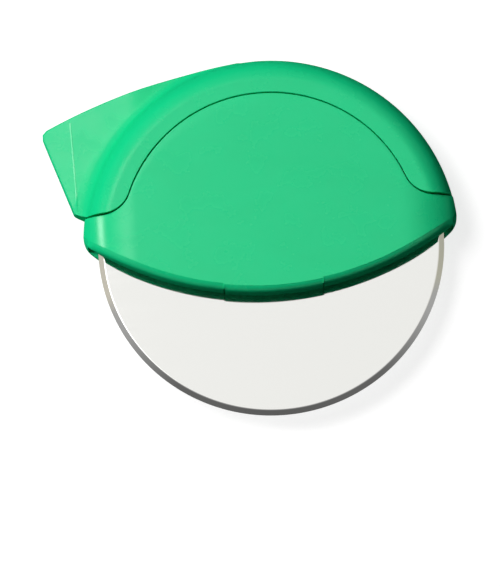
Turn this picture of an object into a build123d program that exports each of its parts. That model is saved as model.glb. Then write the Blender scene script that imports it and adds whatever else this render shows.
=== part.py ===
from build123d import *
from math import asin, atan2, cos, degrees, hypot, radians, sin, sqrt
import os

# Palm-held pizza wheel. It lies on its back: X runs along the body with the finger guard at -X,
# Y runs from the blade's cutting edge towards the palm grip, and Z comes out of the front face.
# The origin is on the flat rear face, on the blade's axis. Lengths are millimetres, angles degrees.

# Blade
blade_radius = 50.0
blade_thickness = 1.0
bevel_width = 1.6
edge_thickness = 0.2

# Body
body_half = 10.6            # from the blade's mid plane to either face
wall = 2.0                  # covers and grip
blade_clearance = 2.3       # from the blade's edge to the grip's inside
grip_band = 11.3            # from the grip's outside in to the seam
seam_gap = 0.35             # between a cover's edge and the grip's edge
shoulder_height = 10.5      # straight end of the seam, above the axis
shoulder_fillet = 8.5
end_wall = 1.5
end_roll_length = 16.0      # the faces roll back over this length at each end
rim_end_height = 5.0        # ends of the covers' arched lower edge, above the axis
rim_drop = 13.4             # lowest point of that edge, below the axis
rim_round = 3.0             # radius of the round from the face down into the rim's wall
rim_crease = 27.0           # slope with which that round starts, in a crease at the face's edge
rim_corner_round = 4.5      # corners where that edge meets the ends
slot_half = 3.6             # the blade's slot, from the mid plane to either flange
parting_gap = 0.2           # between the front cover's end walls and the rear cover's
edge_round = 0.2            # edges of the covers along the seam
overrun = 5.0               # how far a cutting shape passes the shape that it cuts

# Snap tongue in the front cover's lower flange
tongue_half_width = 14.2
tongue_slit = 0.3
tongue_proud = 0.3
tongue_root = 1.2           # plastic left above each slit

# Cover seat: a lip of the grip under each cover, and the front cover's skirt inside it
lip_width = 2.2
lip_thickness = 2.0
lip_root = 2.0              # how far the lip reaches under the grip's own wall
skirt_gap = 0.3
skirt_thickness = 1.2
skirt_depth = 2.6

# Guide ring on each cover, which keeps the blade from wobbling
guide_clearance = 0.8       # outside the hub
guide_thickness = 1.4
guide_gap = 0.8             # to the blade's flat

# Grip
nose_depth = 7.5            # the grip's faces round over into the nose within this depth

# Finger guard
guard_arc_radius = 187.0    # its top edge, which runs out along the grip's own round
guard_arc_turn = 6.9        # how far left of the top it does so
guard_edge_lean = 18.9      # its outer edge leans out by this angle
guard_edge_inset = 2.1      # that edge's line crosses the axis line this far inside the grip's round
guard_foot_rise = 1.7       # lower corner, above the seam's shoulder
guard_heel_rise = 0.4       # where the guard's lower edge meets the grip, above the shoulder
guard_tip_fillet = 3.0
guard_foot_fillet = 1.6
guard_crease_out = 1.1      # its crease lies this far outside the grip's round
guard_middle_share = 0.67   # places along the grip's radius, for the thicknesses there
guard_root_share = 0.2
guard_tip_half = 1.3        # half thicknesses at these places
guard_crease_half = 2.6
guard_middle_half = 4.0
guard_root_half = 1.5
valley_top = 6.6            # hollow blend between nose and guard: its height on the nose
valley_mid_out = 1.4        # and how far its middle and its foot lie outside that point
valley_mid_height = 4.3
valley_foot_out = 4.6
valley_foot_height = 2.4

# Hub, riveted through the blade
hub_radius = 9.0
hub_flange = 2.5
hub_chamfer = 0.5
spigot_wall = 1.0           # round the bush, within the blade's bore
spigot_gap = 0.02
rivet_count = 4
rivet_radius = 0.9
rivet_head_radius = 1.5
rivet_head_height = 0.6
rivet_hole_gap = 0.02

# Bearing, axle and its fasteners
bush_radius = 4.0
bush_proud = 0.2
axle_radius = 2.5
running_gap = 0.05
end_play = 0.1
washer_step = 1.0           # the washers are wider than the bush by this radius
washer_thickness = 0.8
boss_wall = 3.1             # round the axle
boss_rib_count = 6
boss_rib_thickness = 1.2
boss_rib_drop = 1.5         # from the boss's end down to its ribs
axle_seat_depth = 5.2       # pressed into the rear cover's boss
axle_chamfer = 0.3
screw_radius = 1.25
screw_gap = 0.1
screw_length = 6.0
screw_head_radius = 2.3
screw_head_height = 1.8
recess_length = 3.0         # cross recess of every screw
recess_width = 0.7
recess_depth = 1.0

# Four screws through the rear cover into ears of the grip's rear lip
ear_radius = 3.8
ear_height = 4.2
grip_screw_inset = 4.4      # from the seam in to the screws' centres
grip_screw_angles = (35.0, 70.0, 110.0, 145.0)
grip_screw_radius = 1.25
grip_screw_head_radius = 2.5
grip_screw_length = 6.0
grip_screw_sunk = 0.2       # heads lie below the rear face
grip_screw_gap = 0.15

# Worked out from the sizes above
grip_radius = blade_radius + blade_clearance + wall
arch_radius = grip_radius - grip_band
rim_rise = rim_drop + rim_end_height
rim_radius = (grip_radius ** 2 - rim_end_height ** 2 + rim_rise ** 2) / (2 * rim_rise)
rim_out = rim_round * (1 - sin(radians(rim_crease)))
rim_wall_height = body_half - rim_round * cos(radians(rim_crease))
rim_center_y = rim_radius - rim_drop
guard_edge_foot = grip_radius - guard_edge_inset
guard_foot_height = shoulder_height + guard_foot_rise
guard_heel_height = shoulder_height + guard_heel_rise
guard_crease_x = grip_radius + guard_crease_out
guard_middle_x = guard_middle_share * grip_radius
guard_root_x = guard_root_share * grip_radius
grip_screw_circle_radius = arch_radius - grip_screw_inset
roll_start = grip_radius - end_roll_length
blade_bore_radius = bush_radius + spigot_wall
rivet_circle_radius = (blade_bore_radius + hub_radius - hub_chamfer) / 2
guide_inner_radius = hub_radius + guide_clearance
washer_radius = bush_radius + washer_step
boss_radius = axle_radius + boss_wall
face_inside = body_half - wall
blade_half = blade_thickness / 2
hub_half = blade_half + hub_flange
bush_half = hub_half + bush_proud
axle_top = bush_half + end_play
boss_top = bush_half + end_play + washer_thickness


def mirrored(points):
    """The same points on the other side of the Y axis, in reverse order."""
    return [(-x, y) for x, y in reversed(points)]


def seam_line(margin, reach):
    """Seam from x = reach to x = -reach, moved by margin into the covers: shoulder, fillet, arch, fillet,
    shoulder."""
    arch = arch_radius - margin
    fillet_radius = shoulder_fillet + margin
    shoulder = shoulder_height - margin
    center_y = shoulder + fillet_radius
    center_x = sqrt((arch + fillet_radius) ** 2 - center_y ** 2)
    share = arch / (arch + fillet_radius)
    on_arch = (center_x * share, center_y * share)
    on_shoulder = (center_x, shoulder)
    # the fillet's middle lies halfway between straight down and the direction of the axis
    turn = radians((degrees(atan2(center_y, center_x)) + 180 + 270) / 2)
    middle = (center_x + fillet_radius * cos(turn), center_y + fillet_radius * sin(turn))
    right = [Line((reach, shoulder), on_shoulder), ThreePointArc(on_shoulder, middle, on_arch)]
    top = ThreePointArc(on_arch, (0, arch), mirrored([on_arch])[0])
    left_fillet = ThreePointArc(*mirrored([on_shoulder, middle, on_arch]))
    left_shoulder = Line(*mirrored([(reach, shoulder), on_shoulder]))
    return right + [top, left_fillet, left_shoulder]


def cover_outline(seam_margin, end_margin, rim_margin):
    """Lens-shaped outline of a cover, with its seam, ends and rim moved inwards by their margins."""
    end = grip_radius - end_margin
    rim = rim_radius - rim_margin
    shoulder = shoulder_height - seam_margin
    top_corner = (sqrt(end ** 2 - shoulder ** 2), shoulder)
    low_y = (end ** 2 - rim ** 2 + rim_center_y ** 2) / (2 * rim_center_y)
    low_corner = (sqrt(end ** 2 - low_y ** 2), low_y)
    middle_angle = (asin(shoulder / end) + asin(low_y / end)) / 2
    middle = (end * cos(middle_angle), end * sin(middle_angle))
    edges = seam_line(seam_margin, top_corner[0])
    edges.append(ThreePointArc(*mirrored([low_corner, middle, top_corner])))
    edges.append(ThreePointArc(mirrored([low_corner])[0], (0, rim_center_y - rim), low_corner))
    edges.append(ThreePointArc(low_corner, middle, top_corner))
    return Face(Wire(edges))


def below_seam(margin):
    """Everything under the seam, as a face that reaches past the whole object."""
    reach = 2 * grip_radius
    shoulder = shoulder_height - margin
    corners = [(-reach, shoulder), (-reach, -reach), (reach, -reach), (reach, shoulder)]
    return Face(Wire(seam_line(margin, reach) + Polyline(*corners).edges()))


def slab(face, low, high):
    """A flat face made a solid between two heights."""
    return Pos(0, 0, low) * extrude(face, high - low, dir=(0, 0, 1))


def end_rolled_bar(half, roll_length):
    """A bar along X whose faces roll back at both ends in quarter ellipses, long enough in Y for a cover."""
    start = roll_start
    profile = [
        Line((-start, half), (start, half)),
        EllipticalCenterArc((start, 0), roll_length, half, -90, arc_size=180),
        Line((start, -half), (-start, -half)),
        EllipticalCenterArc((-start, 0), roll_length, half, 90, arc_size=180),
    ]
    face = Plane.XZ * Face(Wire(profile))
    return extrude(face, grip_radius + overrun, both=True)


def nosed_disc(radius, half, nose):
    """A disc with flat faces whose edge is a half ellipse, turned round the blade's axis."""
    start = radius - nose
    profile = [
        Line((0, -half), (start, -half)),
        EllipticalCenterArc((start, 0), nose, half, -90, arc_size=180),
        Line((start, half), (0, half)),
        Line((0, half), (0, -half)),
    ]
    return revolve(Plane.XZ * Face(Wire(profile)), Axis.Z)


def tube(outer, inner, low, high):
    """A ring round the blade's axis between two heights."""
    return slab(Circle(outer).face() - Circle(inner).face(), low, high)


def rod(radius, low, high):
    """A solid cylinder round the blade's axis between two heights."""
    return slab(Circle(radius).face(), low, high)


def seam_band(inner_margin, outer_margin, low, high):
    """A band that follows the arched part of the seam, between two margins and two heights."""
    band = below_seam(outer_margin) - below_seam(inner_margin)
    arch_only = Pos(0, roll_start) * Rectangle(2 * roll_start, 2 * roll_start - shoulder_height).face()
    return slab(band & arch_only, low, high)


def at_grip_screws(piece):
    """Copies of a piece at the four grip screws."""
    radius = grip_screw_circle_radius
    return [Pos(radius * cos(radians(angle)), radius * sin(radians(angle)), 0) * piece for angle in grip_screw_angles]


def cross_recess(height):
    """The cross cut into a screw head whose top is at this height, opening upwards."""
    one = Box(recess_length, recess_width, 2 * recess_depth)
    other = Box(recess_width, recess_length, 2 * recess_depth)
    return Pos(0, 0, height) * (one + other)


def on_seam(edge):
    """True for an edge where a cover's face turns down at the seam."""
    middle = edge.position_at(0.5)
    near_seam = middle.Y > shoulder_height - seam_gap and middle.Z > edge_round
    return near_seam and hypot(middle.X, middle.Y) < grip_radius - edge_round


def rounded_rim(proud):
    """A disc as thick as half the body, round the rim's own centre: its wall stands out from the face's edge and
    turns into it in a round. The wall is moved out by proud."""
    wall_radius = rim_radius + rim_out + proud
    middle_slope = radians((90 + rim_crease) / 2)
    middle = (wall_radius - rim_round * (1 - sin(middle_slope)), rim_wall_height + rim_round * cos(middle_slope))
    face_edge = (wall_radius - rim_out, body_half)
    profile = [
        Line((0, 0), (wall_radius, 0)),
        Line((wall_radius, 0), (wall_radius, rim_wall_height)),
        ThreePointArc((wall_radius, rim_wall_height), middle, face_edge),
        Line(face_edge, (0, body_half)),
        Line((0, body_half), (0, 0)),
    ]
    return Pos(0, rim_center_y, 0) * revolve(Plane.XZ * Face(Wire(profile)), Axis.Z)


def cover_shell():
    """A cover as a tray that faces up: rolled face, rounded rim and end walls, open towards the blade."""
    margin = seam_gap / 2
    outline = cover_outline(margin, 0, -rim_out)
    outline = fillet(outline.vertices().sort_by(Axis.Y)[:2], rim_corner_round)
    outer = slab(outline, 0, body_half) & end_rolled_bar(body_half, end_roll_length) & rounded_rim(0)
    curved = outer.edges().filter_by(Axis.Y, reverse=True).filter_by(Axis.Z, reverse=True)
    outer = fillet([edge for edge in curved if on_seam(edge)], edge_round)
    hollow = slab(cover_outline(margin - overrun, end_wall, wall - rim_out), 0, body_half)
    hollow = hollow & end_rolled_bar(face_inside, end_roll_length - wall)
    slot = slab(cover_outline(margin - overrun, end_wall, -overrun), 0, slot_half)
    shell = outer - hollow - slot
    guide = tube(guide_inner_radius + guide_thickness, guide_inner_radius, blade_half + guide_gap, face_inside)
    return shell + guide


def make_front_cover():
    """Front cover: the shell, a locating skirt inside the grip's lip, and the snap tongue in its flange."""
    cover = cover_shell()
    skirt_margin = seam_gap / 2 + lip_width + skirt_gap
    cover += seam_band(skirt_margin + skirt_thickness, skirt_margin, face_inside - skirt_depth, face_inside)
    tongue_height = body_half - slot_half
    tongue_zone = Pos(0, -rim_drop, slot_half + tongue_height / 2) * Box(2 * tongue_half_width, 2 * wall,
                                                                         tongue_height)
    rim_inside = Pos(0, rim_center_y, 0) * rod(rim_radius + rim_out - wall, 0, face_inside)
    cover += (rounded_rim(tongue_proud) & tongue_zone) - rim_inside
    slit = Box(tongue_slit, 3 * wall, 2 * (body_half - tongue_root - slot_half))
    for side in (-1, 1):
        cover -= Pos(side * (tongue_half_width + tongue_slit / 2), wall - rim_drop, slot_half) * slit
    below_parting = Box(4 * grip_radius, 4 * grip_radius, 2 * parting_gap)
    return cover - below_parting


def make_rear_cover():
    """Rear cover: the same shell turned over, with the ribbed axle boss and four countersunk holes."""
    cover = cover_shell()
    rib_length = guide_inner_radius + guide_thickness / 2
    rib_low = boss_top + boss_rib_drop
    rib_face = Pos(rib_length / 2, 0) * Rectangle(rib_length, boss_rib_thickness).face()
    rib = slab(rib_face, rib_low, face_inside)
    for index in range(boss_rib_count):
        cover += Rot(0, 0, index * 360 / boss_rib_count) * rib
    cover += rod(boss_radius, boss_top, face_inside)
    cover -= rod(axle_radius, boss_top - overrun, boss_top + axle_seat_depth)
    head_top = body_half - grip_screw_sunk
    hole_radius = grip_screw_radius + grip_screw_gap
    head_depth = grip_screw_head_radius - grip_screw_radius
    hole = rod(hole_radius, face_inside - overrun, body_half + overrun)
    sink_radius = grip_screw_head_radius + grip_screw_gap
    hole += Pos(0, 0, head_top - head_depth / 2) * Cone(hole_radius, sink_radius, head_depth)
    hole += rod(sink_radius, head_top, body_half + overrun)
    for copy in at_grip_screws(hole):
        cover -= copy
    return mirror(cover, Plane.XY)


def guard_outline():
    """Finger guard in plan, from inside the grip's nose wall to the tip."""
    root = grip_radius - wall / 2
    lean = radians(guard_edge_lean)
    center_reach = guard_arc_radius - grip_radius
    center_x = center_reach * sin(radians(guard_arc_turn))
    center_y = -center_reach * cos(radians(guard_arc_turn))

    def on_edge(height):
        return (-guard_edge_foot - height * sin(lean) / cos(lean), height)

    def on_arc(x):
        return (x, center_y + sqrt(guard_arc_radius ** 2 - (x - center_x) ** 2))

    # the tip is where the leaning edge meets the top arc, found by halving
    low, high = guard_foot_height, grip_radius
    for _ in range(40):
        middle = (low + high) / 2
        if on_arc(on_edge(middle)[0])[1] > middle:
            low = middle
        else:
            high = middle
    tip = on_edge(low)
    foot = on_edge(guard_foot_height)
    heel = (-sqrt(root ** 2 - guard_heel_height ** 2), guard_heel_height)
    crown = (-guard_root_x, sqrt(root ** 2 - guard_root_x ** 2))
    shoulder = on_arc(-guard_root_x)
    root_middle_angle = (atan2(heel[1], heel[0]) + atan2(crown[1], crown[0])) / 2
    root_middle = (root * cos(root_middle_angle), root * sin(root_middle_angle))
    outline = Face(Wire([
        Line(heel, foot),
        Line(foot, tip),
        ThreePointArc(tip, on_arc((tip[0] + shoulder[0]) / 2), shoulder),
        Line(shoulder, crown),
        ThreePointArc(crown, root_middle, heel),
    ]))
    corners = outline.vertices().sort_by(Axis.X)
    outline = fillet(corners[0], guard_tip_fillet)
    foot_corner = outline.vertices().sort_by_distance((foot[0], foot[1], 0))[0]
    return fillet(foot_corner, guard_foot_fillet)


def make_guard():
    """Finger guard: its plan cut to a wedge that thins towards the tip, with a hollow blend to the nose."""
    plan = guard_outline()
    far_x = guard_edge_foot + grip_radius * sin(radians(guard_edge_lean))
    half_points = [
        (-far_x - overrun, guard_tip_half),
        (-far_x + overrun, guard_tip_half),
        (-guard_crease_x, guard_crease_half),
        (-guard_middle_x, guard_middle_half),
        (-guard_root_x, guard_root_half),
        (overrun, guard_root_half),
    ]
    mirror_points = [(x, -z) for x, z in reversed(half_points)]
    wedge_face = Plane.XZ * Face(Wire(Polyline(*half_points, *mirror_points, close=True)))
    wedge = extrude(wedge_face, 2 * grip_radius, both=True)
    plate = slab(plan, -guard_middle_half, guard_middle_half) & wedge
    nose_start = grip_radius - nose_depth
    on_nose = nose_start + nose_depth * sqrt(1 - (valley_top / body_half) ** 2)
    inner = grip_radius - wall
    valley = Face(Wire([
        ThreePointArc((on_nose, valley_top), (on_nose + valley_mid_out, valley_mid_height),
                      (on_nose + valley_foot_out, valley_foot_height)),
        Line((on_nose + valley_foot_out, valley_foot_height), (on_nose + valley_foot_out, 0)),
        Line((on_nose + valley_foot_out, 0), (inner, 0)),
        Line((inner, 0), (nose_start + (inner - nose_start) / 2, valley_top)),
        Line((nose_start + (inner - nose_start) / 2, valley_top), (on_nose, valley_top)),
    ]))
    ring = revolve(Plane.XZ * valley, Axis.Z)
    ring += mirror(ring, Plane.XY)
    return plate + (ring & slab(plan, -body_half, body_half))


def make_palm_grip():
    """Palm grip: a round-nosed channel over the blade, with the finger guard, both lips and the ears."""
    hollow = nosed_disc(grip_radius - wall, face_inside, nose_depth - wall)
    grip = nosed_disc(grip_radius, body_half, nose_depth) + make_guard() - hollow
    grip -= slab(below_seam(-seam_gap / 2), -body_half, body_half)
    lip_margin = seam_gap / 2 + lip_width
    lip = seam_band(lip_margin, -lip_root, face_inside - lip_thickness, face_inside)
    ear = rod(ear_radius, face_inside - ear_height, face_inside)
    rear = lip + at_grip_screws(ear)
    grip += lip + mirror(rear, Plane.XY)
    pilot = rod(grip_screw_radius, -body_half, -face_inside + ear_height)
    for copy in at_grip_screws(pilot):
        grip -= copy
    return grip


def at_rivets(piece):
    """Copies of a piece at the hub's rivets."""
    turn = Rot(0, 0, 360 / rivet_count / 2)
    place = Pos(rivet_circle_radius, 0, 0)
    return [Rot(0, 0, index * 360 / rivet_count) * turn * place * piece for index in range(rivet_count)]


def make_blade():
    """Blade: a flat disc bevelled on both sides to its edge, with the hub's bore and rivet holes."""
    flat_radius = blade_radius - bevel_width
    edge_half = edge_thickness / 2
    profile = Polyline(
        (blade_bore_radius, -blade_half), (flat_radius, -blade_half), (blade_radius, -edge_half),
        (blade_radius, edge_half), (flat_radius, blade_half), (blade_bore_radius, blade_half), close=True)
    blade = revolve(Plane.XZ * Face(Wire(profile)), Axis.Z)
    for hole in at_rivets(rod(rivet_radius + rivet_hole_gap, -blade_thickness, blade_thickness)):
        blade -= hole
    return blade


def make_hub_flange():
    """A hub flange above the blade, bored for the bush and drilled for the rivets."""
    flange = tube(hub_radius, bush_radius, blade_half, hub_half)
    rims = flange.edges().filter_by(GeomType.CIRCLE).sort_by(SortBy.RADIUS)[-2:]
    flange = chamfer(rims.sort_by(Axis.Z)[-1], hub_chamfer)
    for hole in at_rivets(rod(rivet_radius + rivet_hole_gap, -hub_half, 2 * hub_half)):
        flange -= hole
    return flange


def make_hub_rear():
    """Rear flange with the spigot that centres the blade."""
    return mirror(make_hub_flange(), Plane.XY) + tube(blade_bore_radius - spigot_gap, bush_radius, -blade_half,
                                                      blade_half)


def make_hub_rivets():
    """Rivets through both flanges and the blade, with a low domed head at each end."""
    dome_radius = (rivet_head_radius ** 2 + rivet_head_height ** 2) / (2 * rivet_head_height)
    dome = Pos(0, 0, hub_half + rivet_head_height - dome_radius) * Sphere(dome_radius)
    head = dome & rod(rivet_head_radius, hub_half, hub_half + rivet_head_height)
    return at_rivets(rod(rivet_radius, -hub_half, hub_half) + head + mirror(head, Plane.XY))


def make_axle_pin():
    """Axle: a pin pressed into the rear cover's boss, tapped at its front end."""
    foot = -boss_top - axle_seat_depth
    pin = rod(axle_radius, foot, axle_top)
    pin = chamfer(pin.edges().sort_by(Axis.Z)[0], axle_chamfer)
    return pin - rod(screw_radius, axle_top - screw_length, axle_top)


def make_axle_screw():
    """Screw in the axle's end, whose pan head holds the front washer."""
    seat = axle_top + washer_thickness
    top = seat + screw_head_height
    head = rod(screw_head_radius, seat, top)
    head = fillet(head.edges().sort_by(Axis.Z)[-1], screw_head_height / 2)
    shank = rod(screw_radius, axle_top - screw_length + screw_gap, seat)
    return head + shank - cross_recess(top)


def make_grip_screws():
    """Countersunk screws that hold the rear cover to the grip's ears."""
    head_top = body_half - grip_screw_sunk
    head_depth = grip_screw_head_radius - grip_screw_radius
    head = Pos(0, 0, head_top - head_depth / 2) * Cone(grip_screw_radius, grip_screw_head_radius, head_depth)
    shank = rod(grip_screw_radius, head_top - grip_screw_length, head_top - head_depth)
    screw = head + shank - cross_recess(head_top)
    return at_grip_screws(mirror(screw, Plane.XY))


pieces = {
    "palm_grip": make_palm_grip(),
    "front_cover": make_front_cover(),
    "rear_cover": make_rear_cover(),
    "grip_screws": make_grip_screws(),
    "blade": make_blade(),
    "hub_front": make_hub_flange(),
    "hub_rear": make_hub_rear(),
    "hub_rivets": make_hub_rivets(),
    "bearing_bush": tube(bush_radius, axle_radius + running_gap, -bush_half, bush_half),
    "axle_pin": make_axle_pin(),
    "washer_rear": tube(washer_radius, axle_radius + running_gap, -boss_top, -boss_top + washer_thickness),
    "washer_front": tube(washer_radius, screw_radius + screw_gap, axle_top, axle_top + washer_thickness),
    "axle_screw": make_axle_screw(),
}

os.makedirs("parts", exist_ok=True)
for name, piece in pieces.items():
    solids = piece if isinstance(piece, list) else [piece]
    placed = [Pos(0, 0, body_half) * solid for item in solids for solid in item.solids()]
    node = Compound(children=placed) if len(placed) > 1 else placed[0]
    node.label = name
    export_step(node, f"parts/{name}.step")
    print(name, len(placed), "solid(s)", round(sum(solid.volume for solid in placed), 1), "mm3")
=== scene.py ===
# Palm-held pizza wheel, lying on its back: a bevelled steel disc that turns between two green covers, under
# a green palm grip with a finger guard. X runs along the body with the guard at -X, Y from the cutting edge
# towards the grip, Z out of the front face. Metres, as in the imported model.
from math import cos, radians, sin, sqrt, tan

import bpy
import numpy as np
from mathutils import Matrix, Vector


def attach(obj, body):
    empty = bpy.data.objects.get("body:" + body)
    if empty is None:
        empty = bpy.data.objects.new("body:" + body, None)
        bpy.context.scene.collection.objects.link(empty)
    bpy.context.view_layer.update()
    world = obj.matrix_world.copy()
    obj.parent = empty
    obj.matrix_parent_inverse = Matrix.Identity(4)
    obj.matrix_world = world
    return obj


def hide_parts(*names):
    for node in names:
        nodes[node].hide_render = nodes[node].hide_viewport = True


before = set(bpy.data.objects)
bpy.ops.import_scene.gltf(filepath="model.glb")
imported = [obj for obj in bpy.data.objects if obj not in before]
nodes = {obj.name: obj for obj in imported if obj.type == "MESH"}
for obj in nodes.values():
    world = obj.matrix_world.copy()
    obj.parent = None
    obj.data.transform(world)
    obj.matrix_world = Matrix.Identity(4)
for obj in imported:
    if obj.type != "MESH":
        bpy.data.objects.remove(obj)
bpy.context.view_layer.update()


# Rear cover
# The tray that carries the axle: green thermoplastic, injection moulded, as glossy as the polished mould,
# with faint flow marks. Four countersunk screws hold it to the grip, and the tool lies on its flat face.
mm = 0.001
body_half = 10.6 * mm           # from the blade's mid plane to each face
mid_height = body_half          # the blade's mid plane above the floor
green = (0.008, 0.67, 0.265, 1)
deep_green = (0.006, 0.61, 0.23, 1)
plastic_ior = 1.46
peel_depth = 0.05 * mm


def new_material(name):
    """An empty node material, with its tree and its shader."""
    material = bpy.data.materials.new(name)
    material.use_nodes = True
    tree = material.node_tree
    shader = tree.nodes["Principled BSDF"]
    return material, tree, shader


def feed(tree, socket, value):
    """Gives a socket another node's output, or a plain value."""
    if isinstance(value, bpy.types.NodeSocket):
        tree.links.new(value, socket)
    else:
        socket.default_value = value


def noise(tree, scale, detail, stretch=(1, 1, 1), distortion=0.0):
    """Fractal noise on the piece's own coordinates, stretched along the axes."""
    place = tree.nodes.new("ShaderNodeTexCoord")
    mapping = tree.nodes.new("ShaderNodeMapping")
    mapping.inputs["Scale"].default_value = stretch
    texture = tree.nodes.new("ShaderNodeTexNoise")
    texture.inputs["Scale"].default_value = scale
    texture.inputs["Detail"].default_value = detail
    texture.inputs["Distortion"].default_value = distortion
    tree.links.new(place.outputs["Object"], mapping.inputs["Vector"])
    tree.links.new(mapping.outputs["Vector"], texture.inputs["Vector"])
    return texture.outputs["Fac"]


def to_range(tree, value, low, high, from_low=0.3, from_high=0.7):
    """A value from one range carried over to another, and held at its ends."""
    node = tree.nodes.new("ShaderNodeMapRange")
    node.inputs["From Min"].default_value = from_low
    node.inputs["From Max"].default_value = from_high
    node.inputs["To Min"].default_value = low
    node.inputs["To Max"].default_value = high
    tree.links.new(value, node.inputs["Value"])
    return node.outputs["Result"]


def calculate(tree, operation, *values):
    """One sum, product or comparison of outputs and plain numbers."""
    node = tree.nodes.new("ShaderNodeMath")
    node.operation = operation
    for socket, value in zip(node.inputs, values):
        feed(tree, socket, value)
    return node.outputs[0]


def between_colours(tree, first, second, share):
    """A colour between two, by a share from 0 to 1."""
    node = tree.nodes.new("ShaderNodeMix")
    node.data_type = "RGBA"
    feed(tree, node.inputs["A"], first)
    feed(tree, node.inputs["B"], second)
    feed(tree, node.inputs["Factor"], share)
    return node.outputs["Result"]


def add_relief(tree, shader, height, strength, depth):
    """Fine relief on a surface, from a height between 0 and 1."""
    bump = tree.nodes.new("ShaderNodeBump")
    bump.inputs["Strength"].default_value = strength
    bump.inputs["Distance"].default_value = depth
    tree.links.new(height, bump.inputs["Height"])
    tree.links.new(bump.outputs["Normal"], shader.inputs["Normal"])


def moulded_green(name):
    """Glossy green plastic: its colour drifts slightly with the melt's flow, its skin has orange peel and a
    fine grain, and it loses its gloss as it turns away from the eye."""
    material, tree, shader = new_material(name)
    flow = noise(tree, scale=26, detail=3, stretch=(1, 2.2, 1), distortion=1.5)
    colour = between_colours(tree, green, deep_green, to_range(tree, flow, 0.0, 0.35))
    tree.links.new(colour, shader.inputs["Base Color"])
    handling = noise(tree, scale=140, detail=4)
    tree.links.new(to_range(tree, handling, 0.22, 0.3), shader.inputs["Roughness"])
    peel = noise(tree, scale=900, detail=2)
    grain = noise(tree, scale=5200, detail=2)
    grain_share = 0.45
    skin = calculate(tree, "MULTIPLY_ADD", grain, grain_share, peel)
    add_relief(tree, shader, skin, strength=0.12, depth=peel_depth)
    shader.inputs["IOR"].default_value = plastic_ior
    slant = tree.nodes.new("ShaderNodeLayerWeight").outputs["Facing"]
    gloss = to_range(tree, slant, 0.5, 0.0, from_low=0.14, from_high=0.36)
    tree.links.new(gloss, shader.inputs["Specular IOR Level"])
    return material


def dress(node, material):
    """A CAD node keeps its shape and takes this material."""
    nodes[node].data.materials.clear()
    nodes[node].data.materials.append(material)


cover_green = moulded_green("cover_green")
dress("rear_cover", cover_green)


# Axle pin, thrust washers and screws
# Stainless steel, turned, with fine marks along each axis. The pin is pressed into the rear cover's boss,
# the washers take the wheel's end play, and a screw in the pin's end keeps the wheel on.
mark_depth = 0.02 * mm
handled_share = 0.82            # what handled spots keep of the metal's brightness
steel_bright = (0.66, 0.66, 0.65, 1)


def turned_metal(name, colour, roughness):
    """Bright metal: roughness and relief follow the tool's marks, and the colour is a little darker in spots
    where it was handled."""
    material, tree, shader = new_material(name)
    shader.inputs["Metallic"].default_value = 1.0
    marks = noise(tree, scale=2500, detail=3, stretch=(1, 1, 5))
    tree.links.new(to_range(tree, marks, roughness - 0.06, roughness + 0.08), shader.inputs["Roughness"])
    handled = tuple(handled_share * part for part in colour[:3]) + (1,)
    spots = to_range(tree, noise(tree, scale=300, detail=3), 0, 1)
    tree.links.new(between_colours(tree, colour, handled, spots), shader.inputs["Base Color"])
    add_relief(tree, shader, marks, strength=0.1, depth=mark_depth)
    return material


bright_steel = turned_metal("bright_steel", steel_bright, roughness=0.24)
for node in ("axle_pin", "washer_rear", "washer_front", "axle_screw", "grip_screws", "hub_rivets"):
    dress(node, bright_steel)


# Hub and bearing bush
# Two flanges of pale acetal, moulded, riveted together through the blade, round a turned bush of sintered
# bronze that runs on the axle pin.
acetal_pale = (0.62, 0.64, 0.62, 1)
acetal_shade = (0.55, 0.57, 0.55, 1)
bronze = (0.63, 0.42, 0.2, 1)


def acetal(name):
    """Matt pale plastic: colour and roughness follow one faint mottle."""
    material, tree, shader = new_material(name)
    mottle = noise(tree, scale=400, detail=4)
    colour = between_colours(tree, acetal_pale, acetal_shade, to_range(tree, mottle, 0, 1))
    tree.links.new(colour, shader.inputs["Base Color"])
    tree.links.new(to_range(tree, mottle, 0.42, 0.55), shader.inputs["Roughness"])
    return material


hub_acetal = acetal("hub_acetal")
dress("hub_front", hub_acetal)
dress("hub_rear", hub_acetal)
dress("bearing_bush", turned_metal("sintered_bronze", bronze, roughness=0.38))


# Blade
# A disc of polished stainless sheet, 1 mm thick, ground on both sides to a bevel down to the cutting edge.
# It is centred on the hub's spigot, and the corner between its flat and its bevel is worn by use.
blade_radius = 50 * mm
blade_half = 0.5 * mm
bevel_width = 1.6 * mm
edge_half = 0.1 * mm
bore_radius = 5 * mm
worn = 0.14 * mm                # the worn line reaches this far to either side of the corner
worn_bend = 0.03 * mm           # and turns within this width
flat_radius = blade_radius - bevel_width
bevel_fall = (blade_half - edge_half) / bevel_width
steel_polished = (0.8, 0.8, 0.782, 1)


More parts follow.
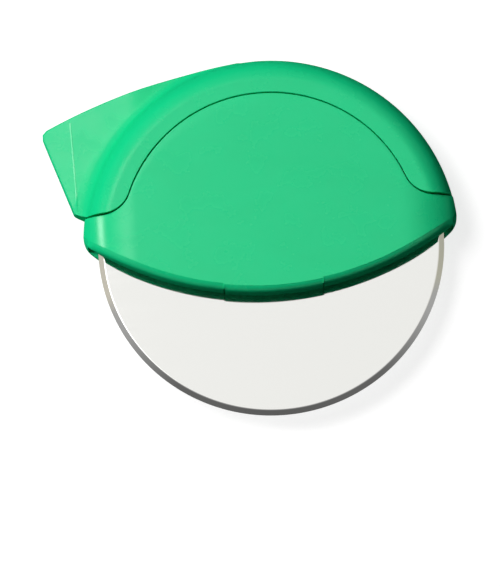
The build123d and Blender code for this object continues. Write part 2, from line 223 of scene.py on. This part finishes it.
def put_grid(name, grid, closed_along=False, sharp_angle=24):
    """A closed mesh from a grid of points. Each row is a closed section; the first and last row get caps, or
    join each other where the grid is closed along too. Faces are turned outward by the sign of the enclosed
    volume, and edges over the sharp angle stay crisp."""
    rows, columns = grid.shape[:2]
    row = np.arange(rows if closed_along else rows - 1)[:, None]
    column = np.arange(columns)[None, :]
    next_row = (row + 1) % rows
    next_column = (column + 1) % columns
    faces = np.stack([row * columns + column, row * columns + next_column, next_row * columns + next_column,
                      next_row * columns + column], axis=-1).reshape(-1, 4)
    points = grid.reshape(-1, 3)
    first, second, third, fourth = ((points - points.mean(axis=0))[faces[:, corner]] for corner in range(4))
    volume = np.sum(first * (np.cross(second, third) + np.cross(third, fourth)))
    polygons = faces.tolist()
    if not closed_along:
        section = np.arange(columns)
        polygons += [section[::-1].tolist(), (section + (rows - 1) * columns).tolist()]
    if volume < 0:
        polygons = [polygon[::-1] for polygon in polygons]
    mesh = bpy.data.meshes.new(name)
    mesh.from_pydata(points.tolist(), [], polygons)
    mesh.polygons.foreach_set("use_smooth", np.ones(len(polygons), bool))
    mesh.set_sharp_from_angle(angle=radians(sharp_angle))
    piece = bpy.data.objects.new(name, mesh)
    bpy.context.scene.collection.objects.link(piece)
    return piece


def lathe(name, profile, steps, center=(0, 0), sharp_angle=24):
    """A closed profile of (radius, height over the blade's mid plane) turned round an upright axis:
    x = r cos a, y = r sin a."""
    profile = np.array(profile)
    angle = np.linspace(0, 2 * np.pi, steps, endpoint=False)[:, None]
    radius, height = profile[:, 0], profile[:, 1] + mid_height
    grid = np.stack([center[0] + radius * np.cos(angle), center[1] + radius * np.sin(angle),
                     height * np.ones_like(angle)], axis=-1)
    return put_grid(name, grid, closed_along=True, sharp_angle=sharp_angle)


def polished_steel(name):
    """Polished sheet steel: near mirror, its roughness follows a very fine straight rolling grain."""
    material, tree, shader = new_material(name)
    shader.inputs["Metallic"].default_value = 1.0
    shader.inputs["Base Color"].default_value = steel_polished
    grain = noise(tree, scale=700, detail=3, stretch=(0.06, 1, 1))
    tree.links.new(to_range(tree, grain, 0.04, 0.09), shader.inputs["Roughness"])
    return material


blade_side = [(bore_radius, blade_half), (flat_radius - worn - worn_bend, blade_half),
              (flat_radius - worn, blade_half), (flat_radius + worn, blade_half - bevel_fall * worn),
              (flat_radius + worn + worn_bend, blade_half - bevel_fall * (worn + worn_bend)),
              (blade_radius, edge_half)]
blade_profile = blade_side + [(radius, -height) for radius, height in reversed(blade_side)]
blade = lathe("blade_disc", blade_profile, steps=720, sharp_angle=16)
blade.data.materials.append(polished_steel("polished_steel"))
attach(blade, "wheel")
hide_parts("blade")


# Palm grip
# The round-nosed channel over the blade, one glossy green moulding with the finger guard at its left. Both
# covers rest on its lips, and four ears inside take the rear cover's screws.
wall = 2 * mm
blade_clearance = 2.3 * mm
grip_radius = blade_radius + blade_clearance + wall
nose_depth = 7.5 * mm           # the nose is a quarter ellipse this deep, from the flat face outwards
nose_start = grip_radius - nose_depth
seam_arch = 43 * mm             # the seam's line in plan: an arch, a fillet and a straight shoulder
seam_fillet = 8.5 * mm
seam_shoulder = 10.5 * mm
seam_half_gap = 0.175 * mm
seam_round = 0.16 * mm
seam_end_share = 0.04           # the seam ends on the nose at this share of its half height
arch_radius = seam_arch + seam_half_gap
fillet_radius = seam_fillet - seam_half_gap
shoulder_height = seam_shoulder + seam_half_gap


def grip_seam(shoulder_steps=34, fillet_steps=22, arch_steps=60):
    """The grip's edge in plan, right to left, as polar angle and radius: the shoulder from the nose's tip
    inwards, a fillet, the arch, and the same mirrored. On the shoulder the steps are even in height."""
    fillet_y = shoulder_height + fillet_radius
    fillet_x = sqrt((arch_radius + fillet_radius) ** 2 - fillet_y ** 2)
    shoulder_reach = sqrt(fillet_x ** 2 + shoulder_height ** 2)
    shoulder_top = body_half * sqrt(1 - ((shoulder_reach - nose_start) / nose_depth) ** 2)
    heights = np.linspace(seam_end_share * body_half, shoulder_top, shoulder_steps)
    radii = nose_start + nose_depth * np.sqrt(1 - (heights / body_half) ** 2)
    shoulder = np.stack([np.sqrt(radii ** 2 - shoulder_height ** 2),
                         np.full(shoulder_steps, shoulder_height)], axis=-1)
    touch = np.arctan2(fillet_y, fillet_x)
    turns = np.linspace(-np.pi / 2, touch - np.pi, fillet_steps)[1:]
    bend = np.stack([fillet_x + fillet_radius * np.cos(turns),
                     fillet_y + fillet_radius * np.sin(turns)], axis=-1)
    arch_turns = np.linspace(touch, np.pi / 2, arch_steps)[1:]
    arch = arch_radius * np.stack([np.cos(arch_turns), np.sin(arch_turns)], axis=-1)
    right = np.concatenate([shoulder, bend, arch])
    left = right[-2::-1] * (-1, 1)
    plan = np.concatenate([right, left])
    return np.arctan2(plan[:, 1], plan[:, 0]), np.hypot(plan[:, 0], plan[:, 1])


def smooth_max(a, b, width):
    """The larger of two arrays, blended where they differ by less than width."""
    near = np.clip(1 - np.abs(a - b) / width, 0, 1)
    return np.maximum(a, b) + near ** 2 * width / 4


def smooth_min(a, b, width):
    """The smaller of two arrays, blended where they differ by less than width."""
    return -smooth_max(-a, -b, width)


def rolled(x, start, length, height):
    """A face's height over x: flat up to start, then falling in a quarter ellipse as long as length."""
    return height * np.sqrt(np.clip(1 - (np.clip(x - start, 0, None) / length) ** 2, 0, None))


# the guard in plan: a long top arc that leaves the grip's circle at its turn, a leaning outer edge at its
# foot's distance from the blade's axis, and a short lower edge through two points
guard_arc = 187 * mm
guard_turn = radians(6.9)
guard_lean = tan(radians(18.9))
guard_foot = 52.2 * mm
guard_low_start = (-53.13 * mm, 10.9 * mm)
guard_low_end = (-56.37 * mm, 12.2 * mm)
guard_top_corner = 3.3 * mm
guard_low_corner = 1.6 * mm
out_of_reach = 1.0              # metres, for a direction that misses an edge of the guard
least_lean = 0.2                # a direction that crosses the outer edge less than this misses it
least_across = 0.05 * mm        # and so for the lower edge


def guard_reach(angle):
    """How far the guard reaches from the blade's axis at a polar angle: out to its top arc, its leaning
    outer edge or its short lower edge, whichever is nearest, with rounded corners."""
    along_x, along_y = np.cos(angle), np.sin(angle)
    center_x = (guard_arc - grip_radius) * sin(guard_turn)
    center_y = -(guard_arc - grip_radius) * cos(guard_turn)
    toward = center_x * along_x + center_y * along_y
    top = toward + np.sqrt(guard_arc ** 2 - center_x ** 2 - center_y ** 2 + toward ** 2)
    lean = -along_x - guard_lean * along_y
    outer = np.where(lean > least_lean, guard_foot / np.maximum(lean, least_lean), out_of_reach)
    run = guard_low_end[0] - guard_low_start[0]
    rise = guard_low_end[1] - guard_low_start[1]
    across = run * along_y - rise * along_x
    offset = run * guard_low_start[1] - rise * guard_low_start[0]
    lower = np.where(across > least_across, offset / np.maximum(across, least_across), out_of_reach)
    return smooth_min(smooth_min(top, outer, guard_top_corner), lower, guard_low_corner)


# the guard's half thickness, as a place along it from the blade's axis, the half thickness there and its
# slope, and the hollow that joins it to the nose, as half heights over the radius
guard_root = (10.8 * mm, 1.5 * mm, 0.099)
guard_middle = (36.2 * mm, 4.0 * mm, -0.0729)
guard_tip = (55.4 * mm, 2.6 * mm, -0.13)
guard_least = 1.2 * mm
guard_crest_round = 0.5 * mm
guard_crease_round = 0.05 * mm
guard_edge_round = 0.6 * mm
guard_join_round = 0.5 * mm
hollow_radii = np.array([52.67, 53.2, 54.07, 55.5, 57.27, 60]) * mm
hollow_heights = np.array([6.6, 5.4, 4.3, 3.2, 2.4, 0]) * mm
hollow_start = 52.3 * mm        # within this radius the nose is untouched
hollow_round = 1.0 * mm


def guard_half(x):
    """The guard's half thickness: the least of three slopes over x, so that it thickens from its root to its
    middle and thins again to its tip, with rounded crests."""
    root, middle, tip = (half + (x - place) * slope
                         for place, half, slope in (guard_root, guard_middle, guard_tip))
    crest = smooth_min(root, middle, guard_crest_round)
    return np.maximum(smooth_min(crest, tip, guard_crease_round), guard_least)


def guard_height(x, radius):
    """The guard's half height: its own thickness over x, joined to the nose by a hollow over the radius."""
    return smooth_max(guard_half(x), np.interp(radius, hollow_radii, hollow_heights), hollow_round)


hairline = 1e-6 * mm            # the width of a blend where there is none
turn_length = 1.2 * mm          # points are spread as if a turn of one radian were this long
least_round = 0.01 * mm         # the seam's round where the grip ends
round_share = 0.4               # and its most, as a share of the line after it
inside_share = 0.35             # the inside keeps at least this share of the seam's height


def outside_line(angle, start, tip, has_guard, count=900):
    """The outside from the seam to the tip, finely divided, as radius and half height: the nose, and where
    there is a guard the larger of nose and guard, with a rounded edge at the guard's tip."""
    along = np.linspace(0, 1, count)
    radius = start + (tip - start) * (1 - (1 - along) ** 2)
    nose = rolled(radius, nose_start, nose_depth, body_half)
    edge = rolled(radius, tip - guard_edge_round, guard_edge_round, 1)
    guard = np.where(has_guard, guard_height(-radius * np.cos(angle), radius) * edge, 0)
    joined = smooth_max(nose, guard, np.where(has_guard, guard_join_round, hairline))
    height = np.where(radius < hollow_start, nose, joined)
    height[:, -1] = 0
    return radius, height


def thinned_out(radius, height, count):
    """Each line carried by fewer points, spread evenly in the sum of its length and of its turning."""
    run = np.hypot(np.diff(radius), np.diff(height))
    turn = np.abs(np.diff(np.arctan2(np.diff(height), np.diff(radius)), axis=1))
    weight = run + turn_length * np.concatenate([turn, turn[:, -1:]], axis=1)
    place = np.concatenate([np.zeros((len(run), 1)), np.cumsum(weight, axis=1)], axis=1)
    place = place / place[:, -1:]
    row = 2 * np.arange(len(place))[:, None]
    wanted = np.linspace(0, 1, count) + row
    number = np.arange(radius.size)
    picked = np.interp(wanted.ravel(), (place + row).ravel(), number)
    return (np.interp(picked, number, line.ravel()).reshape(wanted.shape) for line in (radius, height))


def rounded_seam(radius, height, start, tip, count=6):
    """A line with a quarter round put before it at the seam, which shrinks to nothing at the grip's ends."""
    rounding = np.minimum(seam_round, round_share * (tip - start) + least_round)
    bend = np.linspace(0, np.pi / 2, count)[:-1]
    round_radius = start + rounding * (1 - np.cos(bend))
    round_height = height[:, :1] - rounding * (1 - np.sin(bend))
    radius = np.concatenate([round_radius, np.maximum(radius, start + rounding)], axis=1)
    height = np.concatenate([round_height, height], axis=1)
    return radius, height


def inside_line(start, seam_height, count=22):
    """The inside from the seam to the channel's ground: straight down at the seam, then a quarter ellipse,
    as radius and half height."""
    inner_tip = np.maximum(grip_radius - wall, start)
    inner_start = np.maximum(start, nose_start)
    inner_high = rolled(inner_start, nose_start, nose_depth - wall, body_half - wall)
    inner_high = np.maximum(inner_high, inside_share * seam_height)
    sweep = np.linspace(0, np.pi / 2, count)
    radius = inner_start + (inner_tip - inner_start) * np.sin(sweep)
    height = inner_high * np.cos(sweep)
    return np.concatenate([start, radius], axis=1), np.concatenate([inner_high, height], axis=1)


def grip_sections(angle, seam_radius):
    """Closed sections of the grip, one for each seam point: over the front face, the nose or the guard and
    the rear face, and back along the inside."""
    angle, start = angle[:, None], seam_radius[:, None]
    reach = guard_reach(angle)
    has_guard = (reach > grip_radius) & (angle > np.pi / 2 + guard_turn)
    tip = np.where(has_guard, reach, grip_radius)
    radius_out, height_out = thinned_out(*outside_line(angle, start, tip, has_guard), count=92)
    radius_out, height_out = rounded_seam(radius_out, height_out, start, tip)
    radius_in, height_in = inside_line(start, height_out[:, :1])
    radius = np.concatenate([radius_out, radius_out[:, -2::-1], radius_in, radius_in[:, -2::-1]], axis=1)
    height = np.concatenate([height_out, -height_out[:, -2::-1], -height_in, height_in[:, -2::-1]], axis=1)
    return np.stack([radius * np.cos(angle), radius * np.sin(angle), height + mid_height], axis=-1)


grip = put_grid("grip_shell", grip_sections(*grip_seam()))
grip.data.materials.append(cover_green)
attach(grip, "body")
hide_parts("palm_grip")

witness_foot = 12.9 * mm        # a fine line's lower and upper ends on the guard
witness_top = 39.4 * mm
witness_place = 55.1 * mm       # its crest's distance from the blade's axis, at its level
witness_level = 12.3 * mm
witness_lean = 0.025
bead_places = np.array([-0.3, -0.3, 0, 0.04]) * mm
bead_heights = np.array([-0.15, 0, 0.14, -0.15]) * mm


def witness_line(name, side, count=40):
    """A fine raised line across the guard on one side, where two inserts of the mould meet: a long low slope
    towards the tip and a short one towards the grip, carried along a leaning line."""
    y = np.linspace(witness_foot, witness_top, count)[:, None]
    crest = -witness_place - witness_lean * (y - witness_level)
    x = crest + bead_places
    height = guard_height(-x, np.hypot(x, y)) + bead_heights
    grid = np.stack([x, y * np.ones_like(x), mid_height + side * height], axis=-1)
    return put_grid(name, grid, sharp_angle=8)


def arc_bar(name, inner, outer, low, high, turns, count=90):
    """A bar of rectangular section bent round the blade's axis, between two turns in degrees."""
    angle = np.radians(np.linspace(*turns, count))[:, None]
    radius = np.array([inner, outer, outer, inner])
    height = np.array([low, low, high, high]) + mid_height
    grid = np.stack([radius * np.cos(angle), radius * np.sin(angle), height * np.ones_like(angle)], axis=-1)
    return put_grid(name, grid)


lip_inner = 40.6 * mm
lip_outer = 45 * mm
lip_low = 6.6 * mm
lip_high = body_half - wall
lip_turns = (22, 158)
ear_bore = 1.25 * mm
ear_radius = 3.8 * mm
ear_height = 4.2 * mm           # each ear stands this high over the rear cover's inside
ear_place = 38.6 * mm
ear_turns = (35, 70, 110, 145)

fittings = [arc_bar("lip_front", lip_inner, lip_outer, lip_low, lip_high, lip_turns),
            arc_bar("lip_rear", lip_inner, lip_outer, -lip_high, -lip_low, lip_turns)]
ear_top = ear_height - lip_high
ear_profile = [(ear_bore, -lip_high), (ear_radius, -lip_high), (ear_radius, ear_top), (ear_bore, ear_top)]
for number, turn in enumerate(ear_turns, start=1):
    center = (ear_place * cos(radians(turn)), ear_place * sin(radians(turn)))
    fittings.append(lathe(f"ear_{number}", ear_profile, steps=48, center=center))
fittings += [witness_line("witness_line_front", 1), witness_line("witness_line_rear", -1)]
for piece in fittings:
    piece.data.materials.append(cover_green)
    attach(piece, "body")


# Front cover
# The lens-shaped tray that clips over the wheel, one green moulding 2 mm thick: a flat face, a rim that
# turns down in a round from a crease, ends that roll back, and a snap tongue in the rim between two slits.
roll_length = 16 * mm
roll_start = grip_radius - roll_length
end_wall = 1.5 * mm
slot_half = 3.6 * mm            # half the slot that the blade comes out of
parting = 0.2 * mm              # half the gap between both covers at their ends
face_inside = body_half - wall
rim_drop = 13.4 * mm            # how far the rim's arc reaches below the blade's axis
rim_end_height = 5 * mm
rim_round = 3 * mm
rim_crease = radians(27)
crease_step = 0.08 * mm
corner_round = 4.5 * mm
tongue_half = 14.2 * mm
tongue_slit = 0.3 * mm
tongue_proud = 0.3 * mm
slit_top = 1.2 * mm             # each slit ends this far under the face
cover_edge_round = 0.14 * mm
tip_edge_share = 0.2            # at its tip the cover is too narrow for its round and its walls, which then
tip_round_share = 0.6           # take these shares of its width
tip_wall_share = 0.8
least_width = 0.001 * mm
least_wall = 0.3 * mm           # the least upright wall below the rim's round
wall_slant = 0.0001 * mm        # keeps the two points of an upright step apart
floor_gap = 0.02 * mm           # between the inside and the wall's foot, where they would meet
seam_points = 7                 # points on each stretch of a section
face_points = 14
rim_points = 10
inside_points = 6
cover_arch = seam_arch - seam_half_gap
cover_fillet = seam_fillet + seam_half_gap
cover_shoulder = seam_shoulder - seam_half_gap
rim_radius = (grip_radius ** 2 - rim_end_height ** 2 + (rim_drop + rim_end_height) ** 2) / (
    2 * (rim_drop + rim_end_height))
rim_center = rim_radius - rim_drop
wall_radius = rim_radius + rim_round * (1 - sin(rim_crease))
corner_reach = grip_radius - corner_round
corner_y = (corner_reach ** 2 - (wall_radius - corner_round) ** 2 + rim_center ** 2) / (2 * rim_center)
corner_x = sqrt(corner_reach ** 2 - corner_y ** 2)
cover_end = corner_x + corner_round


def upper_edge(x):
    """The cover's upper edge over |x|: arch, fillet, shoulder, the round end and the corner."""
    center_y = cover_shoulder + cover_fillet
    center_x = sqrt((cover_arch + cover_fillet) ** 2 - center_y ** 2)
    arch = np.sqrt(np.clip(cover_arch ** 2 - x ** 2, 0, None))
    bend = center_y - np.sqrt(np.clip(cover_fillet ** 2 - np.clip(center_x - x, 0, None) ** 2, 0, None))
    edge = np.where(x < center_x * cover_arch / (cover_arch + cover_fillet), arch, bend)
    end = np.sqrt(np.clip(grip_radius ** 2 - x ** 2, 0, None))
    corner = corner_y + np.sqrt(np.clip(corner_round ** 2 - (x - corner_x) ** 2, 0, None))
    return np.minimum(edge, np.where(x > corner_x * grip_radius / corner_reach, corner, end))


def rim_edge(x, radius):
    """A line of the rim over |x|: a circle round the rim's centre, carried round the corner at the end."""
    line = rim_center - np.sqrt(radius ** 2 - x ** 2)
    wall_line = rim_center - np.sqrt(wall_radius ** 2 - x ** 2)
    turn_start = corner_x * wall_radius / (wall_radius - corner_round)
    corner = corner_y - np.sqrt(np.clip(corner_round ** 2 - (x - corner_x) ** 2, 0, None))
    return line + np.where(x > turn_start, corner - wall_line, 0)


def cover_section(x, proud, floor_height, is_end):
    """Closed section of the cover across X at each |x|: up the seam, over the face, down the rim's round and
    wall, and back along the inside. Where the cover narrows to its tip, round and wall narrow with it."""
    x = x[:, None]
    face = rolled(x, roll_start, roll_length, body_half)
    top = upper_edge(x)
    low = rim_edge(x, wall_radius) - proud
    width = np.maximum(top - low, least_width)
    edge_round = np.minimum(cover_edge_round, tip_edge_share * width)
    turn = np.linspace(0, np.pi / 2, seam_points)
    seam_y = top - edge_round * (1 - np.cos(turn))
    seam_z = face - edge_round * (1 - np.sin(turn))
    slope = np.linspace(rim_crease, np.pi / 2, rim_points)
    out = rim_edge(x, wall_radius - rim_round * (1 - np.sin(slope))) - proud
    shrunk = tip_round_share * width / np.maximum(out[:, :1] - low, least_width)
    out = low + (out - low) * np.minimum(1, shrunk)
    drop = crease_step + rim_round * (cos(rim_crease) - np.cos(slope))
    drop = drop * np.minimum(1, (face - floor_height) / (drop[-1] + least_wall))
    face_y = seam_y[:, -1:] + (out[:, :1] - seam_y[:, -1:]) * np.linspace(0, 1, face_points)[1:]
    inner_low = np.minimum(rim_edge(x, wall_radius - wall), low + tip_wall_share * width)
    inner_low = np.where(is_end, low + tip_edge_share * width, inner_low)
    inner_y = inner_low + (top - inner_low) * np.linspace(0, 1, inside_points)
    inside = np.maximum(rolled(x, roll_start, roll_length - wall, face_inside), slot_half + floor_gap)
    inside = np.where(is_end, floor_height, inside)
    y = np.concatenate([seam_y, face_y, out, low, inner_low - wall_slant, inner_y], axis=1)
    z = np.concatenate([seam_z, face * np.ones_like(face_y), face - drop, np.full((len(x), 2), floor_height),
                        inside * np.ones_like(inner_y)], axis=1)
    return np.stack([x * np.ones_like(y), y, z + mid_height], axis=-1)


def cover_half(tongue_steps=14, flat_steps=24, roll_steps=30, end_steps=16, last_end_share=0.02):
    """The cover's sections from the middle to one end: tongue, slit, rim and the closed end, where the steps
    grow finer towards the tip."""
    tongue = cover_section(np.linspace(0, tongue_half, tongue_steps), tongue_proud, slot_half, False)
    slit_x = np.array([tongue_half, tongue_half + tongue_slit])
    slit = cover_section(slit_x, 0, body_half - slit_top, False)
    flat_x = np.linspace(tongue_half + tongue_slit, roll_start, flat_steps)
    last_roll = np.arcsin((grip_radius - end_wall - roll_start) / roll_length)
    roll = np.linspace(0, last_roll, roll_steps)[1:]
    rim_x = np.concatenate([flat_x, roll_start + roll_length * np.sin(roll)])
    rim = cover_section(rim_x, 0, slot_half, False)
    end_x = cover_end - (cover_end - grip_radius + end_wall) * np.linspace(1, last_end_share, end_steps) ** 2
    end = cover_section(end_x, 0, parting, True)
    return np.concatenate([tongue, slit, rim, end])


guide_inner = 9.8 * mm          # a ring round the hub, and a skirt within the grip's lips
guide_outer = 11.2 * mm
guide_low = 1.3 * mm
skirt_inner = 39.1 * mm
skirt_outer = 40.3 * mm
skirt_depth = 2.6 * mm
skirt_turns = (20, 160)

right = cover_half()
left = right[:0:-1] * (-1, 1, 1)
shell = put_grid("cover_shell", np.concatenate([left, right]))
guide_profile = [(guide_inner, guide_low), (guide_outer, guide_low), (guide_outer, face_inside),
                 (guide_inner, face_inside)]
guide = lathe("cover_guide", guide_profile, steps=120)
skirt = arc_bar("cover_skirt", skirt_inner, skirt_outer, face_inside - skirt_depth, face_inside, skirt_turns)
for piece in (shell, guide, skirt):
    piece.data.materials.append(cover_green)
    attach(piece, "cover")
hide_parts("front_cover")


# Floor, light and camera
# A white table under a white panel overhead on the grip's side, with dark surroundings low down and grey
# walls to both sides. A soft lamp overhead lights the colours and two at the left add highlights there. The
# camera looks down from far away, a little from the cutting side.
floor_size = 6                  # metres
card_grey = (0.36, 0.36, 0.36, 1)
card_glow = 0.8
white = (1, 1, 1, 1)


def white_card():
    """White card that keeps the object's shadow, but is plain white around it to the eye and in mirrors."""
    material, tree, shader = new_material("white_card")
    shader.inputs["Base Color"].default_value = card_grey
    tree.links.new(to_range(tree, noise(tree, scale=60, detail=4), 0.65, 0.75), shader.inputs["Roughness"])
    rays = tree.nodes.new("ShaderNodeLightPath").outputs
    seen = calculate(tree, "MAXIMUM", rays["Is Camera Ray"], rays["Is Glossy Ray"])
    shader.inputs["Emission Color"].default_value = white
    tree.links.new(calculate(tree, "MULTIPLY", seen, card_glow), shader.inputs["Emission Strength"])
    return material


bpy.ops.mesh.primitive_plane_add(size=floor_size, location=(0, 0, 0))
floor = bpy.context.object
floor.name = "floor"
floor.data.materials.append(white_card())

# the panel's colours from left to right, by a share of its width
black = (0.0, 0.0, 0.0, 1)
panel_stops = ((0.2, (0.25, 0.24, 0.22, 1)), (0.29, (0.58, 0.55, 0.47, 1)), (0.37, (1.0, 0.99, 0.96, 1)),
               (0.5, (0.75, 0.75, 0.74, 1)), (0.65, (0.62, 0.61, 0.58, 1)), (0.71, (0.46, 0.45, 0.37, 1)),
               (0.8, (0.1, 0.1, 0.09, 1)))
world_strength = 1.4


def surroundings(tree, towards):
    """Grey level beside the panel, by direction: nearly black low down on the cutting side, lighter towards
    the panel, and grey walls to the left and right, which light bounced off matt surfaces doesn't meet."""
    dark_side = to_range(tree, towards["Y"], 0.012, 0.105, from_low=-0.62, from_high=-0.26)
    near_panel = to_range(tree, towards["Y"], 0.0, 0.21, from_low=-0.2, from_high=-0.02)
    level = calculate(tree, "ADD", dark_side, near_panel)
    sideways = calculate(tree, "ABSOLUTE", towards["X"])
    walls = to_range(tree, sideways, 0.0, 0.4, from_low=0.42, from_high=0.66)
    bounces = tree.nodes.new("ShaderNodeLightPath").outputs["Diffuse Depth"]
    walls = calculate(tree, "MULTIPLY", walls, calculate(tree, "LESS_THAN", bounces, 0.5))
    return calculate(tree, "MAXIMUM", level, walls)


def studio_world():
    """What glossy surfaces mirror: the panel between its near and far edges, its surroundings elsewhere."""
    world = bpy.data.worlds.new("studio")
    world.use_nodes = True
    tree = world.node_tree
    direction = tree.nodes.new("ShaderNodeTexCoord")
    apart = tree.nodes.new("ShaderNodeSeparateXYZ")
    tree.links.new(direction.outputs["Generated"], apart.inputs["Vector"])
    towards = apart.outputs
    near_edge = to_range(tree, towards["Y"], 0.0, 1.0, from_low=0.03, from_high=0.08)
    far_edge = to_range(tree, towards["Y"], 1.0, 0.0, from_low=0.42, from_high=0.7)
    across = tree.nodes.new("ShaderNodeValToRGB")
    stops = across.color_ramp.elements
    for end in stops:
        end.color = black
    for place, colour in panel_stops:
        stops.new(place).color = colour
    across_share = to_range(tree, towards["X"], 0.0, 1.0, from_low=-1.0, from_high=1.0)
    tree.links.new(across_share, across.inputs["Fac"])
    seen = between_colours(tree, surroundings(tree, towards), across.outputs["Color"],
                           calculate(tree, "MULTIPLY", near_edge, far_edge))
    background = tree.nodes["Background"]
    tree.links.new(seen, background.inputs["Color"])
    background.inputs["Strength"].default_value = world_strength
    world.cycles_visibility.diffuse = False
    return world


def soft_lamp(name, place, aim, size, power):
    """A square area lamp that faces a point."""
    data = bpy.data.lights.new(name, "AREA")
    data.shape = "SQUARE"
    data.size = size
    data.energy = power
    lamp = bpy.data.objects.new(name, data)
    bpy.context.scene.collection.objects.link(lamp)
    lamp.location = place
    lamp.rotation_euler = (Vector(aim) - Vector(place)).to_track_quat("-Z", "Y").to_euler()
    return lamp


bpy.context.scene.world = studio_world()
soft_lamp("left_lamp", place=(-0.9, 0.18, 0.48), aim=(0, 0, 0.01), size=0.15, power=2.0)
soft_lamp("left_panel", place=(-0.17, 0.1, 0.5), aim=(-0.17, 0.1, 0), size=0.2, power=0.17)
fill = soft_lamp("fill", place=(-0.393, 0.227, 0.891), aim=(0, 0, 0.01), size=0.45, power=8.1)
fill.visible_glossy = False

camera_distance = 3.0           # metres
camera_lens = 637.7             # in millimetres, as is the film's width
film_width = 36
camera_height = radians(78.7)   # above the horizon
camera_roll = radians(-3.6)
photo_height = 586              # pixels
shift_right = -21.7             # the object's place in the picture, in pixels
shift_up = -47.6
aim = Vector((0.15 * mm, 0, mid_height))

camera_data = bpy.data.cameras.new("camera")
camera_data.lens = camera_lens
camera_data.sensor_width = film_width
camera_data.shift_x = shift_right / photo_height
camera_data.shift_y = shift_up / photo_height
camera = bpy.data.objects.new("camera", camera_data)
bpy.context.scene.collection.objects.link(camera)
back = Vector((0, -cos(camera_height), sin(camera_height)))
camera.location = aim + camera_distance * back
turned = (-back).to_track_quat("-Z", "Y").to_matrix().to_4x4() @ Matrix.Rotation(camera_roll, 4, "Z")
camera.matrix_world = Matrix.Translation(camera.location) @ turned
bpy.context.scene.camera = camera
bpy.context.scene.view_settings.view_transform = "Standard"
